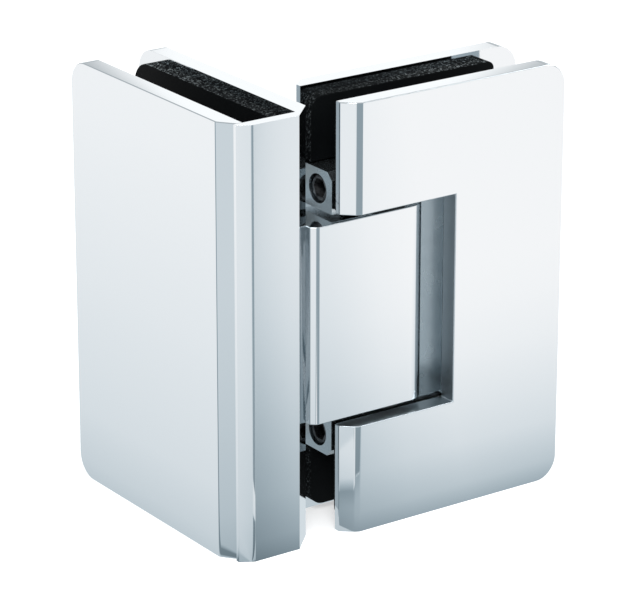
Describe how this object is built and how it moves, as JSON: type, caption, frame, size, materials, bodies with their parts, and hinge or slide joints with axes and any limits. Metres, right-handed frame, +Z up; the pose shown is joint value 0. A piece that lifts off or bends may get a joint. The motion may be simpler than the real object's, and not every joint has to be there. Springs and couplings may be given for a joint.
{
  "type": "glass door hinge",
  "caption": "Right-angle glass-to-glass pivot hinge with bevelled clamp plates, gasketed glass slots and a double-acting spring detent.",
  "frame": {"origin": "on the pivot axis at the hinge's mid height", "axes": "+X from the pivot towards the door panel's far edge, +Y from the door's outer face to its back, along the fixed panel, +Z up along the pivot axis"},
  "size_m": [0.08, 0.0584, 0.09],
  "materials": {
    "chrome": "polished chrome plate",
    "steel": "turned stainless steel",
    "rubber": "matt black sheet, cut edges",
    "nylon": "natural nylon"
  },
  "bodies": {
    "fixed_clamp": {"fixed_outer_plate": "chrome", "fixed_body": "chrome", "fixed_face_gasket": "rubber", "fixed_seat_gasket": "rubber", "fixed_boss_sleeves": "nylon", "fixed_clamp_screws": "steel", "pivot_block": "chrome", "block_screws": "steel", "upper_bush": "nylon", "lower_bush": "nylon", "upper_spring": "steel", "lower_spring": "steel", "spring_adjusters": "steel"},
    "door_clamp": {"door_front_plate": "chrome", "door_back_plate": "chrome", "door_face_gasket": "rubber", "door_seat_gasket": "rubber", "door_boss_sleeves": "nylon", "door_clamp_screws": "steel", "pivot_carrier": "chrome", "carrier_screws": "steel", "pivot_pin": "steel", "pin_set_screws": "steel"},
    "upper_plunger": {"upper_plunger": "steel"},
    "lower_plunger": {"lower_plunger": "steel"}
  },
  "joints": [
    {"name": "door_swing", "type": "hinge", "parent": "fixed_clamp", "child": "door_clamp", "pos_m": [0, 0, 0], "axis": [0, 0, 1], "range_deg": [-90, 90]},
    {"name": "upper_plunger_slide", "type": "slide", "parent": "fixed_clamp", "child": "upper_plunger", "axis": [1, 0, 0], "range_m": [0, 0.00058], "stiffness_N_per_m": 4000, "springref_m": 0.003},
    {"name": "lower_plunger_slide", "type": "slide", "parent": "fixed_clamp", "child": "lower_plunger", "axis": [1, 0, 0], "range_m": [0, 0.00058], "stiffness_N_per_m": 4000, "springref_m": 0.003}
  ]
}
